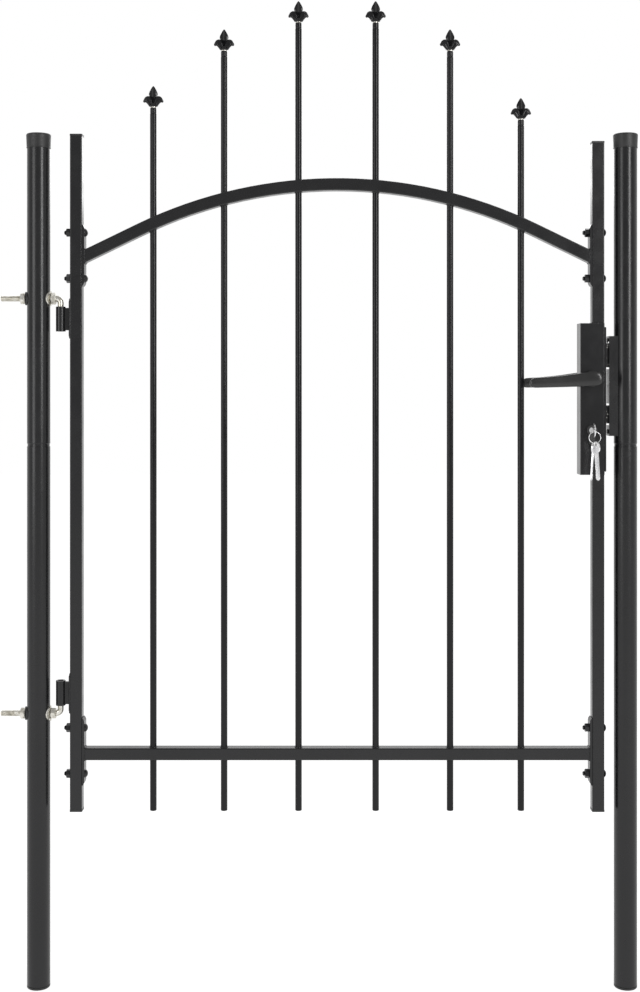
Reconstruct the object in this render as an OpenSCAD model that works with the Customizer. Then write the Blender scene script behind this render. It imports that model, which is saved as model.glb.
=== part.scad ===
// Steel garden gate: an arched single leaf with spear-topped bars, hung between two round posts.
// Origin: centre of the hinge post's foot. +X runs to the lock post, -Y is the front, +Z is up.
// The leaf and both posts share the plane Y = 0.

/* [Posts] */
// Outside diameter of each post tube
post_od = 38; // [32:0.5:60]
// Wall of each post tube
post_wall = 2; // [1.5:0.25:4]
// Distance between the post centres
post_span = 974; // [850:1:1300]
// Height of each post, foot to the top of the cap
post_height = 1414; // [1380:1:1700]
// Height of the joint between the lower and the upper post tube
joint_z = 896; // [700:1:1000]
// Width of the groove that shows at the joint
joint_groove = 5; // [3:0.5:8]
// Depth of that groove
joint_recess = 0.8; // [0.4:0.1:1.5]
// Length of the spigot of the upper tube inside the lower one
spigot_len = 70; // [40:1:120]
// Clearance of the spigot in the lower tube
spigot_gap = 0.15; // [0.05:0.05:0.5]
// Height of the plastic cap on each post
cap_h = 24; // [16:1:40]
// Thickness of the cap's side at its top
cap_side = 1.3; // [0.8:0.1:3]
// Thickness of the cap's top
cap_top = 2.5; // [1.5:0.5:5]
// Radius of the cap's rounded edge
cap_round = 2.5; // [1:0.5:4]
// Thickness of the plug's flange under each post
plug_flange = 4; // [2:0.5:8]
// Length of the plug inside the tube
plug_len = 22; // [10:1:40]

/* [Leaf] */
// Width of the square tube
tube = 20; // [16:1:30]
// Wall of the square tube
tube_wall = 1.5; // [1:0.25:2.5]
// Corner radius of the square tube
tube_round = 2; // [1:0.25:3]
// Centre of the hinge stile from the hinge post's centre
hinge_stile_x = 63.4; // [60:0.1:72]
// Gap between the lock's forend and the strike
lock_gap = 5; // [4:0.5:10]
// Height of the foot of both stiles
stile_foot_z = 292; // [60:1:320]
// Height of the top of the hinge stile
hinge_stile_top = 1413; // [1380:1:1550]
// Height of the top of the lock stile
lock_stile_top = 1401; // [1380:1:1550]
// Thickness of the end caps of the stiles
stile_cap = 3; // [1.5:0.5:5]
// How far the end caps stand out around the tube
stile_cap_lip = 0.3; // [0:0.1:1]
// Radius of the arch on its centre line
arch_radius = 750; // [650:10:1000]
// Half of the angle that the arch curves through
arch_half_angle = 25.9; // [20:0.1:27]
// Height of the arch's centre line in the middle
arch_top_z = 1330; // [1280:1:1400]
// Height of the bottom rail's centre line
rail_z = 387; // [350:1:420]

/* [Bars] */
// Diameter of the round bars
bar_d = 11; // [8:0.5:14]
// Clearance of the bars in the holes of the arch and the rail
bar_gap = 0.1; // [0.05:0.05:0.5]
// Height of the foot of the bars
bar_foot_z = 292; // [60:1:320]
// Distance of the inner pair of bars from the middle of the leaf
bar_inner = 64; // [50:1:80]
// Distance of the middle pair
bar_middle = 187.5; // [150:0.5:210]
// Distance of the outer pair
bar_outer = 305; // [260:1:320]
// Height of the spear tips, inner pair
tip_inner_z = 1635; // [1500:1:1700]
// Height of the spear tips, middle pair
tip_middle_z = 1588; // [1480:1:1660]
// Height of the spear tip, outer bar on the hinge side
tip_outer_hinge_z = 1494; // [1450:1:1600]
// Height of the spear tip, outer bar on the lock side
tip_outer_lock_z = 1474; // [1450:1:1600]

/* [Finials] */
// Height of a spear finial, from the top of its bar to its tip
finial_h = 47; // [42:0.5:70]
// Width across the side leaves
finial_w = 33.5; // [28:0.5:45]
// Width of the spear's blade
blade_w = 14.8; // [12:0.2:20]
// Height of the socket under the leaves
waist_h = 12.5; // [10:0.5:16]
// Width of the leaves at the waist
waist_w = 13.5; // [11:0.5:16]
// Thickness of the side leaves
petal_t = 8; // [4:0.5:10]

/* [End plates] */
// Thickness of the plates between the stiles and the cross members
plate_t = 4; // [3:0.5:6]
// Height of the plates at the ends of the arch
arch_plate_h = 102; // [90:1:130]
// Rise of those plates' centre above the foot of the arch
arch_plate_rise = 1.5; // [-10:0.5:10]
// Height of the plates at the ends of the rail
rail_plate_h = 112; // [90:1:130]
// Rise of those plates' centre above the rail
rail_plate_rise = 4; // [-10:0.5:10]
// Distance between the two bolts of a plate
plate_pitch = 76; // [66:1:84]
// Diameter of the plate bolts
bolt_d = 8; // [6:1:10]
// Clearance of the bolts in their holes
bolt_gap = 0.3; // [0.1:0.1:0.6]
// Diameter of the bolts' domed heads
dome_d = 14.5; // [12:0.5:18]
// Height of the domed heads
dome_h = 4.6; // [3:0.1:6]
// Width across flats of the nuts
bolt_nut_af = 13; // [10:1:17]
// Thickness of the nuts
bolt_nut_t = 7; // [5:0.5:8]
// Length of thread beyond the nuts
bolt_tail = 3.5; // [1:0.5:8]

/* [Hinges] */
// Distance of the hinge axis from the post's centre
axis_x = 36.7; // [36:0.1:45]
// Diameter of the hinge rods
rod_d = 10; // [8:0.5:12]
// Clearance of the rods in the posts, nuts and washers
rod_gap = 0.2; // [0.1:0.05:0.5]
// Height of the upper rod
upper_rod_z = 1141; // [1100:1:1160]
// Height of the lower rod
lower_rod_z = 453; // [420:1:480]
// Bend radius of the rods on their centre line
rod_bend = 7.5; // [6:0.5:9]
// Length of rod left of the post's centre
rod_tail = 62; // [45:1:90]
// Height of the hinge eyes
eye_h = 41; // [30:1:60]
// Outside diameter of the hinge eyes
eye_od = 16; // [15:0.5:20]
// Running clearance of the pins in the eyes, on the radius
pin_gap = 0.1; // [0.05:0.01:0.1]
// Space between an eye and the end of the rod's bend
eye_gap = 6; // [4:0.5:12]
// Thickness of the lug between the eye and the stile's plate
lug_t = 6; // [4:0.5:8]
// Thickness of the plate on the stile
pad_t = 2; // [1.5:0.5:3]
// Height of the plate on the stile
pad_h = 66; // [50:1:80]
// Width across flats of the rod nuts
rod_nut_af = 17; // [13:1:19]
// Thickness of the outer rod nuts
outer_nut_t = 6; // [5:0.5:9]
// Thickness of the inner rod nuts, beside the hinge pins
inner_nut_t = 8; // [6:0.5:8]
// Diameter of the flat washers under the outer nuts
rod_washer_d = 18; // [16:1:21]
// Thickness of the flat washers
rod_washer_t = 1.5; // [1:0.5:3]
// Diameter of the inner saddle washers, which are bent round the post
inner_saddle_d = 25; // [21:1:30]
// Thickness of the inner saddle washers
inner_saddle_t = 2; // [1.5:0.5:3]
// Diameter of the outer saddles
outer_saddle_d = 22; // [21:1:30]
// Thickness of the outer saddles
outer_saddle_t = 3; // [2:0.5:6]

/* [Lock] */
// Height of the lock case
case_h = 250; // [220:1:280]
// Height of the middle of the lock case
case_z = 974.5; // [900:1:1040]
// Width of the lock case, along the leaf
case_w = 40; // [36:1:50]
// Depth of the lock case, front to back
case_d = 34; // [30:0.2:42]
// Edge radius of the lock case
case_round = 1.5; // [0.5:0.5:4]
// Height of the forend plate
forend_h = 239; // [210:1:245]
// Width of the forend plate
forend_w = 24; // [18:1:28]
// Thickness of the forend plate
forend_t = 3.5; // [2:0.5:5]
// Distance from the forend's face to the lever and cylinder axes
backset = 25; // [20:1:26]
// Height of the lever's axis
lever_z = 1008; // [980:1:1030]
// Distance from the lever's axis down to the cylinder's
cylinder_drop = 85; // [72:1:92]

/* [Latch and bolt] */
// Height of the latch
latch_h = 40; // [30:1:44]
// Height of the latch's centre
latch_z = 1047; // [1030:1:1060]
// Thickness of the latch
latch_t = 12; // [8:1:14]
// Height of the dead bolt
bolt_h = 30; // [20:1:34]
// Height of the dead bolt's centre
bolt_z = 949; // [940:1:956]
// Thickness of the dead bolt
bolt_t = 10; // [8:1:12]
// How far the latch and the dead bolt reach out of the forend
throw = 10.5; // [8:0.5:12]
// Length of the latch and the dead bolt inside the case
bolt_body = 12; // [8:1:13]
// Clearance around the latch and the dead bolt
bolt_slack = 0.3; // [0.2:0.1:0.6]

/* [Levers] */
// Distance from the leaf's middle plane to the middle of the levers
lever_out = 50; // [46:1:64]
// Length of a lever from its axis
lever_len = 107; // [90:1:130]
// Height of a lever beside its hub
lever_root_h = 24; // [18:1:28]
// Height of a lever at its tip
lever_tip_h = 17; // [12:1:22]
// Thickness of a lever
lever_t = 11; // [8:1:16]
// Slope of a lever, downwards from its hub
lever_droop = 4; // [0:0.5:10]
// Diameter of a lever's hub
hub_d = 28; // [24:1:32]
// Diameter of a lever's neck
neck_d = 18; // [14:1:22]
// Side of the square spindle
spindle = 8; // [7:1:9]

/* [Cylinder and keys] */
// Diameter of the profile cylinder
cylinder_d = 17; // [16:0.5:18]
// Height of the profile cylinder
cylinder_h = 33; // [30:1:34]
// Width of the profile cylinder's lower part
cylinder_leg = 10; // [9:0.5:11]
// How far the cylinder stands out of the case
cylinder_out = 4; // [2:0.5:8]
// Diameter of the collar around the cylinder
collar_d = 22; // [20:0.5:24]
// Height of that collar
collar_out = 1.5; // [1:0.5:2]
// Thickness of the keys
key_t = 2; // [1.6:0.1:2.4]
// Diameter of a key's bow
bow_d = 24; // [22:1:26]
// Diameter of the spare keys' bows
spare_bow_d = 22; // [20:1:24]
// Diameter of the hole in a key's bow
bow_hole = 5; // [4:0.5:6]
// Distance from the middle of the working key's bow out to its hole
bow_hole_out = 7; // [6:0.5:7.5]
// Distance from the cylinder's face to the middle of the bow
bow_out = 16; // [15:1:24]
// Middle diameter of the key ring
ring_d = 19; // [18:0.5:24]
// Thickness of the ring's wire
ring_wire = 2; // [1.4:0.1:2]
// Clearance of the ring where it hangs in a hole
ring_gap = 0.1; // [0.05:0.05:0.3]
// Length of a spare key
key_len = 64; // [54:1:66]

/* [Strike] */
// Height of the strike
strike_h = 165; // [150:1:180]
// Height of the middle of the strike
strike_z = 996; // [985:1:1005]
// Distance from the lock post's centre to the strike's face
strike_out = 29.2; // [27:0.1:34]
// Thickness of the strike
strike_t = 2; // [1.5:0.5:3]
// Width of the strike
strike_w = 24; // [22:1:30]
// Clearance of the latch and the dead bolt in the strike
strike_slack = 3; // [2:0.5:5]
// Diameter of the strike's screw heads
screw_head_d = 8; // [6:0.5:10]

/* [Hidden] */
$fn = 96;
hull_fn = 32;
far = 400;            // longer than anything that is cut

black = "#26272a";
zinc = "#c9c6bd";
nickel = "#d8d9dc";

post_r = post_od / 2;
post_bore_r = post_r - post_wall;
tube_top_z = post_height - cap_top;
strike_x = post_span - strike_out;                 // face of the strike
forend_x = strike_x - lock_gap;                    // face of the forend
case_x1 = forend_x - forend_t;                     // right side of the case
case_x0 = case_x1 - case_w;                        // left side of the case
case_z0 = case_z - case_h / 2;
case_z1 = case_z + case_h / 2;
case_y = case_d / 2;
lock_stile_x = case_x1 - tube / 2 + 1;             // the stile's outer side lies just under the forend
leaf_x0 = hinge_stile_x + tube / 2;                // inner side of the hinge stile
leaf_x1 = lock_stile_x - tube / 2;                 // inner side of the lock stile
leaf_cx = (leaf_x0 + leaf_x1) / 2;
cross_x0 = leaf_x0 + plate_t;                      // where the arch and the rail start
cross_x1 = leaf_x1 - plate_t;
axis_lock_x = forend_x - backset;                  // lever and cylinder axes
cylinder_z = lever_z - cylinder_drop;
cylinder_face_y = case_y + cylinder_out;
bow_y = cylinder_face_y + bow_out;
ring_y = bow_y + bow_hole_out;                     // the ring hangs in the bow's hole
ring_r = ring_d / 2;
ring_sag = bow_hole / 2 - ring_wire / 2 - ring_gap;  // the ring rests on the lower side of the hole
ring_z = cylinder_z - ring_sag - ring_r;

bar_x = [
    leaf_cx - bar_outer, leaf_cx - bar_middle, leaf_cx - bar_inner,
    leaf_cx + bar_inner, leaf_cx + bar_middle, leaf_cx + bar_outer
];
tip_z = [tip_outer_hinge_z, tip_middle_z, tip_inner_z, tip_inner_z, tip_middle_z, tip_outer_lock_z];
arch_centre_z = arch_top_z - arch_radius;
arch_end_x = arch_radius * sin(arch_half_angle);
arch_end_z = arch_centre_z + arch_radius * cos(arch_half_angle);
arch_reach = (cross_x1 - cross_x0) / 2;            // from the middle to the end plates
arch_leg_len = (arch_reach - arch_end_x) / cos(arch_half_angle) + tube;
arch_lap = 0.001;                                  // the legs start this far inside the curve, to join it
arch_foot_z = arch_end_z - (arch_reach - arch_end_x) * tan(arch_half_angle);
arch_plate_z = arch_foot_z + arch_plate_rise;
rail_plate_z = rail_z + rail_plate_rise;

pad_x0 = hinge_stile_x - tube / 2 - pad_t;         // outer face of the plates on the hinge stile
upper_eye_z = upper_rod_z - rod_bend - eye_gap - eye_h;
lower_eye_z = lower_rod_z + rod_bend + eye_gap;
pin_len = eye_h + eye_gap - 3;                     // the pins end just inside the eyes

bolt_tip_x = forend_x + throw;
plates = [
    [arch_plate_z, arch_plate_h],
    [rail_plate_z, rail_plate_h]
];

// ---------- shared shapes ----------

// A square with rounded corners, centred, made of exact arcs
module rounded_square(w, h, r) {
    square([w - 2 * r, h], center = true);
    square([w, h - 2 * r], center = true);
    for (sx = [-1, 1], sy = [-1, 1]) {
        translate([sx * (w / 2 - r), sy * (h / 2 - r)]) circle(r);
    }
}

// Section of the square tube
module tube_section() {
    difference() {
        rounded_square(tube, tube, tube_round);
        square(tube - 2 * tube_wall, center = true);
    }
}

// A cylinder along X that starts at x = 0
module x_cylinder(d, len) {
    rotate([0, 90, 0]) cylinder(d = d, h = len);
}

// A cylinder along Y, centred
module y_cylinder(d, len) {
    rotate([90, 0, 0]) cylinder(d = d, h = len, center = true);
}

// A hexagonal prism along X that starts at x = 0
module x_hexagon(af, len) {
    rotate([0, 90, 0]) cylinder(d = af / cos(30), h = len, $fn = 6);
}

// ---------- posts ----------

module post_lower(rod_z) {
    difference() {
        translate([0, 0, plug_flange]) cylinder(r = post_r, h = joint_z - plug_flange);
        translate([0, 0, -1]) cylinder(r = post_bore_r, h = joint_z + 2);
        if (rod_z > 0) translate([-far / 2, 0, rod_z]) x_cylinder(rod_d + 2 * rod_gap, far);
    }
}

module post_upper(rod_z) {
    spigot_r = post_bore_r - spigot_gap;
    neck_r = post_r - joint_recess;
    inner_r = spigot_r - post_wall;
    difference() {
        union() {
            translate([0, 0, joint_z - spigot_len]) cylinder(r = spigot_r, h = spigot_len + 1);
            translate([0, 0, joint_z]) cylinder(r = neck_r, h = joint_groove - joint_recess);
            translate([0, 0, joint_z + joint_groove - joint_recess])
                cylinder(r1 = neck_r, r2 = post_r, h = joint_recess);
            translate([0, 0, joint_z + joint_groove])
                cylinder(r = post_r, h = tube_top_z - joint_z - joint_groove);
        }
        translate([0, 0, joint_z - spigot_len - 1]) cylinder(r = inner_r, h = far * 2);
        translate([0, 0, joint_z + joint_groove + 2]) cylinder(r = post_bore_r, h = far * 2);
        if (rod_z > 0) translate([-far / 2, 0, rod_z]) x_cylinder(rod_d + 2 * rod_gap, far);
    }
}

module post_cap() {
    cap_r = post_r + cap_side;
    rotate_extrude() difference() {
        union() {
            polygon([
                [0, post_height - cap_h], [cap_r - 0.5, post_height - cap_h],
                [cap_r, post_height - cap_round], [0, post_height - cap_round]
            ]);
            translate([0, post_height - cap_round]) square([cap_r - cap_round, cap_round]);
            intersection() {
                translate([cap_r - cap_round, post_height - cap_round]) circle(cap_round);
                translate([0, post_height - cap_round]) square([cap_r + 1, cap_round + 1]);
            }
        }
        translate([-1, post_height - cap_h - 1]) square([post_r + 1, cap_h - cap_top + 1]);
    }
}

module post_plug() {
    cylinder(r = post_r, h = plug_flange);
    translate([0, 0, plug_flange]) difference() {
        cylinder(r = post_bore_r, h = plug_len);
        translate([0, 0, 2]) cylinder(r = post_bore_r - 2, h = plug_len);
    }
}

module at_lock_post() {
    translate([post_span, 0, 0]) children();
}

module hinge_post_lower() { color(black) post_lower(lower_rod_z); }
module hinge_post_upper() { color(black) post_upper(upper_rod_z); }
module hinge_post_cap() { color(black) post_cap(); }
module hinge_post_plug() { color(black) post_plug(); }
module lock_post_lower() { color(black) at_lock_post() post_lower(0); }
module lock_post_upper() { color(black) at_lock_post() post_upper(0); }
module lock_post_cap() { color(black) at_lock_post() post_cap(); }
module lock_post_plug() { color(black) at_lock_post() post_plug(); }

// ---------- hinges ----------

// A rod through the post that bends into the pin: dir is 1 for a pin that points up
module hinge_rod(dir) {
    chamfer = 1;
    translate([-rod_tail + chamfer, 0, 0]) x_cylinder(rod_d, axis_x - rod_bend + rod_tail - chamfer);
    translate([-rod_tail, 0, 0]) rotate([0, 90, 0])
        cylinder(d1 = rod_d - 2 * chamfer, d2 = rod_d, h = chamfer);
    translate([axis_x - rod_bend, 0, dir * rod_bend]) rotate([90, 0, 0])
        rotate([0, 0, dir > 0 ? -90 : 0])
            rotate_extrude(angle = 90) translate([rod_bend, 0]) circle(d = rod_d);
    mirror([0, 0, dir > 0 ? 0 : 1]) translate([axis_x, 0, rod_bend]) {
        cylinder(d = rod_d, h = pin_len - chamfer);
        translate([0, 0, pin_len - chamfer]) cylinder(d1 = rod_d, d2 = rod_d - 2 * chamfer, h = chamfer);
    }
}

module upper_hinge_rod() { color(zinc) translate([0, 0, upper_rod_z]) hinge_rod(-1); }
module lower_hinge_rod() { color(zinc) translate([0, 0, lower_rod_z]) hinge_rod(1); }

// Both heights at which a rod passes through the hinge post
module at_rods() {
    for (z = [upper_rod_z, lower_rod_z]) translate([0, 0, z]) children();
}

module rod_hole() {
    translate([-far / 2, 0, 0]) x_cylinder(rod_d + 2 * rod_gap, far);
}

// A disc of diameter d and thickness t, bent round the post on the side of +X
module saddle(d, t) {
    difference() {
        intersection() {
            cylinder(r = post_r + t, h = d + 2, center = true);
            x_cylinder(d, far);
        }
        cylinder(r = post_r, h = d + 4, center = true);
        rod_hole();
    }
}

module hinge_saddles() {
    color(black) at_rods() mirror([1, 0, 0]) saddle(outer_saddle_d, outer_saddle_t);
}

// The bent washers on the inner side and flat ones on the outer saddles
module hinge_washers() {
    crown = post_r + outer_saddle_t;
    color(zinc) at_rods() {
        saddle(inner_saddle_d, inner_saddle_t);
        difference() {
            translate([-crown - rod_washer_t, 0, 0]) x_cylinder(rod_washer_d, rod_washer_t);
            rod_hole();
        }
    }
}

module hinge_nuts() {
    outer_x = post_r + outer_saddle_t + rod_washer_t;
    color(zinc) at_rods() difference() {
        union() {
            translate([-outer_x - outer_nut_t, 0, 0]) x_hexagon(rod_nut_af, outer_nut_t);
            translate([post_r + inner_saddle_t, 0, 0]) x_hexagon(rod_nut_af, inner_nut_t);
        }
        rod_hole();
    }
}

// An eye with its lug and the plate that is welded to the hinge stile
module hinge_eye(z, pad_z) {
    pin_bore = rod_d + 2 * pin_gap;
    end_h = 5;
    color(black) difference() {
        union() {
            translate([axis_x, 0, z]) cylinder(d = eye_od, h = eye_h);
            translate([axis_x, -lug_t / 2, z + 2]) cube([pad_x0 - axis_x, lug_t, eye_h - 4]);
            translate([pad_x0, 0, pad_z]) rotate([90, 0, 0]) linear_extrude(tube - 2, center = true)
                polygon([
                    [0, end_h], [pad_t - 0.5, 0], [pad_t, 0],
                    [pad_t, pad_h], [pad_t - 0.5, pad_h], [0, pad_h - end_h]
                ]);
        }
        translate([axis_x, 0, z - 1]) cylinder(d = pin_bore, h = eye_h + 2);
    }
}

module upper_hinge_eye() { hinge_eye(upper_eye_z, upper_eye_z - 12); }
module lower_hinge_eye() { hinge_eye(lower_eye_z, lower_eye_z - 12); }

// ---------- leaf frame ----------

module stile(x, z0, z1) {
    translate([x, 0, z0]) linear_extrude(z1 - z0) tube_section();
}

// Holes along X for the bolts of the end plates
module bolt_holes() {
    for (p = plates, s = [-1, 1]) {
        translate([-far, 0, p[0] + s * plate_pitch / 2]) x_cylinder(bolt_d + 2 * bolt_gap, 4 * far + post_span);
    }
}

module hinge_stile() {
    color(black) difference() {
        stile(hinge_stile_x, stile_foot_z + stile_cap, hinge_stile_top - stile_cap);
        bolt_holes();
    }
}

module lock_stile_upper() {
    color(black) difference() {
        stile(lock_stile_x, case_z1, lock_stile_top - stile_cap);
        bolt_holes();
    }
}

module lock_stile_lower() {
    color(black) difference() {
        stile(lock_stile_x, stile_foot_z + stile_cap, case_z0);
        bolt_holes();
    }
}

// A plastic cap: a flange on the tube's end and a short plug in it, dir is 1 for a top end
module stile_cap_at(x, z, dir) {
    plug_h = 12;
    flange_w = tube + 2 * stile_cap_lip;
    plug_w = tube - 2 * tube_wall;
    translate([x, 0, z]) mirror([0, 0, dir > 0 ? 0 : 1]) {
        translate([0, 0, -stile_cap]) linear_extrude(stile_cap) rounded_square(flange_w, flange_w, tube_round);
        translate([-plug_w / 2, -plug_w / 2, -stile_cap - plug_h]) cube([plug_w, plug_w, plug_h]);
    }
}

module stile_caps() {
    color(black) {
        stile_cap_at(hinge_stile_x, hinge_stile_top, 1);
        stile_cap_at(hinge_stile_x, stile_foot_z, -1);
        stile_cap_at(lock_stile_x, lock_stile_top, 1);
        stile_cap_at(lock_stile_x, stile_foot_z, -1);
    }
}

// Holes for all six bars
module bar_holes() {
    for (x = bar_x) translate([x, 0, 0]) cylinder(d = bar_d + 2 * bar_gap, h = 5 * far);
}

// Carries a section along the arch: a curve with a straight, tangent leg at either end
module along_arch() {
    translate([leaf_cx, 0, arch_centre_z]) rotate([90, 0, 0]) {
        rotate([0, 0, 90 - arch_half_angle]) rotate_extrude(angle = 2 * arch_half_angle)
            translate([arch_radius, 0]) children();
        for (side = [-1, 1]) rotate([0, 0, 90 - side * arch_half_angle]) translate([arch_radius, 0, 0])
            rotate([side * 90, 0, 0]) translate([0, 0, -arch_lap]) linear_extrude(arch_leg_len) children();
    }
}

module arch() {
    color(black) difference() {
        along_arch() rounded_square(tube, tube, tube_round);
        along_arch() square(tube - 2 * tube_wall, center = true);
        for (x = [cross_x0 - far, cross_x1]) translate([x, -far / 2, 0]) cube([far, far, 5 * far]);
        bar_holes();
    }
}

module bottom_rail() {
    color(black) difference() {
        translate([cross_x0, 0, rail_z]) rotate([0, 90, 0]) linear_extrude(cross_x1 - cross_x0) tube_section();
        bar_holes();
    }
}

module end_plates() {
    bevel = 3;
    color(black) difference() {
        for (p = plates) translate([0, 0, p[0]]) {
            for (side = [0, 1]) translate([side * (leaf_x0 + leaf_x1), 0, 0]) mirror([side, 0, 0])
                translate([leaf_x0, 0, 0]) rotate([90, 0, 0]) linear_extrude(tube, center = true)
                    polygon([
                        [0, -p[1] / 2 + 1], [1, -p[1] / 2], [plate_t - 1, -p[1] / 2 + bevel],
                        [plate_t, -p[1] / 2 + 2 * bevel], [plate_t, p[1] / 2 - 2 * bevel],
                        [plate_t - 1, p[1] / 2 - bevel], [1, p[1] / 2], [0, p[1] / 2 - 1]
                    ]);
        }
        bolt_holes();
    }
}

// The domed heads all lie on the side nearer the lock post, the nuts on the other
module plate_bolts() {
    grip = tube + plate_t;
    dome_r = (dome_d * dome_d / 4 + dome_h * dome_h) / (2 * dome_h);
    tail = bolt_nut_t + bolt_tail;
    color(black) for (p = plates, s = [-1, 1], x1 = [leaf_x0 + plate_t, leaf_x1 + tube]) {
        translate([x1, 0, p[0] + s * plate_pitch / 2]) {
            translate([-grip - tail, 0, 0]) x_cylinder(bolt_d, grip + tail);
            rotate([0, 90, 0]) rotate_extrude() intersection() {
                translate([0, dome_h - dome_r]) circle(dome_r);
                square([dome_d / 2, dome_h]);
            }
        }
    }
}

module plate_nuts() {
    grip = tube + plate_t;
    color(black) for (p = plates, s = [-1, 1], x1 = [leaf_x0 + plate_t, leaf_x1 + tube]) {
        translate([x1 - grip - bolt_nut_t, 0, p[0] + s * plate_pitch / 2]) difference() {
            x_hexagon(bolt_nut_af, bolt_nut_t);
            translate([-1, 0, 0]) x_cylinder(bolt_d, bolt_nut_t + 2);
        }
    }
}

// ---------- bars and finials ----------

module bar(i) {
    color(black) translate([bar_x[i], 0, bar_foot_z])
        cylinder(d = bar_d, h = tip_z[i] - finial_h - bar_foot_z);
}

module bar_1() { bar(0); }
module bar_2() { bar(1); }
module bar_3() { bar(2); }
module bar_4() { bar(3); }
module bar_5() { bar(4); }
module bar_6() { bar(5); }

// One side leaf of a finial: it flares from the waist to a rounded tip, with a shoulder above
module petal() {
    tip_r = 1.9;
    shoulder_r = 3.4;
    tip_x = finial_w / 2 - tip_r;
    tip_y = waist_h + 8.7;
    shoulder_x = finial_w / 2 - 7.6;
    shoulder_y = waist_h + 13.3;
    rotate([90, 0, 0]) linear_extrude(petal_t, center = true) {
        translate([tip_x, tip_y]) circle(tip_r);
        translate([shoulder_x, shoulder_y]) circle(shoulder_r);
        polygon([
            [0, waist_h], [waist_w / 2, waist_h], [waist_w / 2 + 1.6, waist_h + 3],
            [tip_x - 4, tip_y - 3], [tip_x, tip_y - tip_r], [tip_x + tip_r * 0.8, tip_y + tip_r * 0.6],
            [shoulder_x + 2.7, shoulder_y + 2.1], [shoulder_x - 1, shoulder_y + shoulder_r - 0.2],
            [0, shoulder_y + 1]
        ]);
    }
}

module finial(i) {
    socket_r = bar_d / 2 - 0.1;
    neck_r = socket_r - 0.8;
    groove_h = 1.6;
    blade_z = waist_h + 14;
    blade_h = finial_h - blade_z;
    color(black) translate([bar_x[i], 0, tip_z[i] - finial_h]) {
        rotate_extrude() polygon([
            [0, 0], [neck_r, 0], [socket_r, groove_h], [socket_r, waist_h - groove_h],
            [neck_r, waist_h - groove_h / 2], [waist_w / 2 - 1, waist_h], [waist_w / 2 - 0.6, waist_h + 3],
            [blade_w / 2 - 2.2, blade_z - 5], [blade_w / 2 - 1.4, blade_z],
            [blade_w / 2 - 0.3, blade_z + 0.2 * blade_h], [blade_w / 2, blade_z + 0.3 * blade_h],
            [blade_w / 2 - 0.7, blade_z + 0.42 * blade_h], [0.5, finial_h - 0.7], [0, finial_h]
        ]);
        for (m = [0, 1]) mirror([m, 0, 0]) petal();
    }
}

module finial_1() { finial(0); }
module finial_2() { finial(1); }
module finial_3() { finial(2); }
module finial_4() { finial(3); }
module finial_5() { finial(4); }
module finial_6() { finial(5); }

// ---------- lock ----------

// Section of a profile cylinder in the XZ plane, its round part on the axis
module cylinder_profile(gap) {
    r = cylinder_d / 2 + gap;
    circle(r);
    translate([-cylinder_leg / 2 - gap, -(cylinder_h - cylinder_d / 2 - cylinder_leg / 2)])
        square([cylinder_leg + 2 * gap, cylinder_h - cylinder_d / 2 - cylinder_leg / 2]);
    translate([0, -(cylinder_h - cylinder_d / 2 - cylinder_leg / 2)]) circle(cylinder_leg / 2 + gap);
}

// Moves children to the front or the rear side of the lock's axis; side is -1 for the front
module on_lock_axis(z) {
    translate([axis_lock_x, 0, z]) children();
}

module bolt_block(x0, x1, z, h, t) {
    translate([x0, -t / 2, z - h / 2]) cube([x1 - x0, t, h]);
}

module bolt_pockets() {
    for (b = [[latch_z, latch_h, latch_t], [bolt_z, bolt_h, bolt_t]]) {
        bolt_block(
            forend_x - forend_t - bolt_body - throw - 1, forend_x + 1,
            b[0], b[1] + 2 * bolt_slack, b[2] + 2 * bolt_slack
        );
    }
}

module lock_case() {
    color(black) difference() {
        union() {
            translate([(case_x0 + case_x1) / 2, 0, case_z0]) linear_extrude(case_h)
                rounded_square(case_w, case_d, case_round);
            on_lock_axis(cylinder_z) y_cylinder(collar_d, case_d + 2 * collar_out);
        }
        bolt_pockets();
        on_lock_axis(lever_z) y_cylinder(spindle * sqrt(2) + 2 * bolt_slack, far);
        on_lock_axis(cylinder_z) rotate([90, 0, 0]) linear_extrude(far, center = true) cylinder_profile(0.1);
    }
}

module lock_forend() {
    color(black) difference() {
        translate([case_x1, 0, case_z - case_h / 2 + 5 + forend_h / 2]) rotate([0, 90, 0])
            linear_extrude(forend_t) rounded_square(forend_h, forend_w, 2);
        bolt_pockets();
    }
}

module lock_cylinder() {
    color(nickel) on_lock_axis(cylinder_z) difference() {
        rotate([90, 0, 0]) linear_extrude(2 * cylinder_face_y, center = true) cylinder_profile(0);
        translate([0, -cylinder_face_y + 5, 0]) y_cylinder(11, 12);
    }
}

// The latch has a slope towards the front, where the strike's stop meets it on closing
module latch() {
    slope = 6;
    x1 = bolt_tip_x;
    color(black) translate([0, 0, latch_z - latch_h / 2]) linear_extrude(latch_h) polygon([
        [case_x1 - bolt_body, -latch_t / 2], [x1 - slope, -latch_t / 2], [x1, latch_t / 2 - 4],
        [x1, latch_t / 2], [case_x1 - bolt_body, latch_t / 2]
    ]);
}

module dead_bolt() {
    color(black) bolt_block(case_x1 - bolt_body, bolt_tip_x, bolt_z, bolt_h, bolt_t);
}

// ---------- levers ----------

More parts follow.
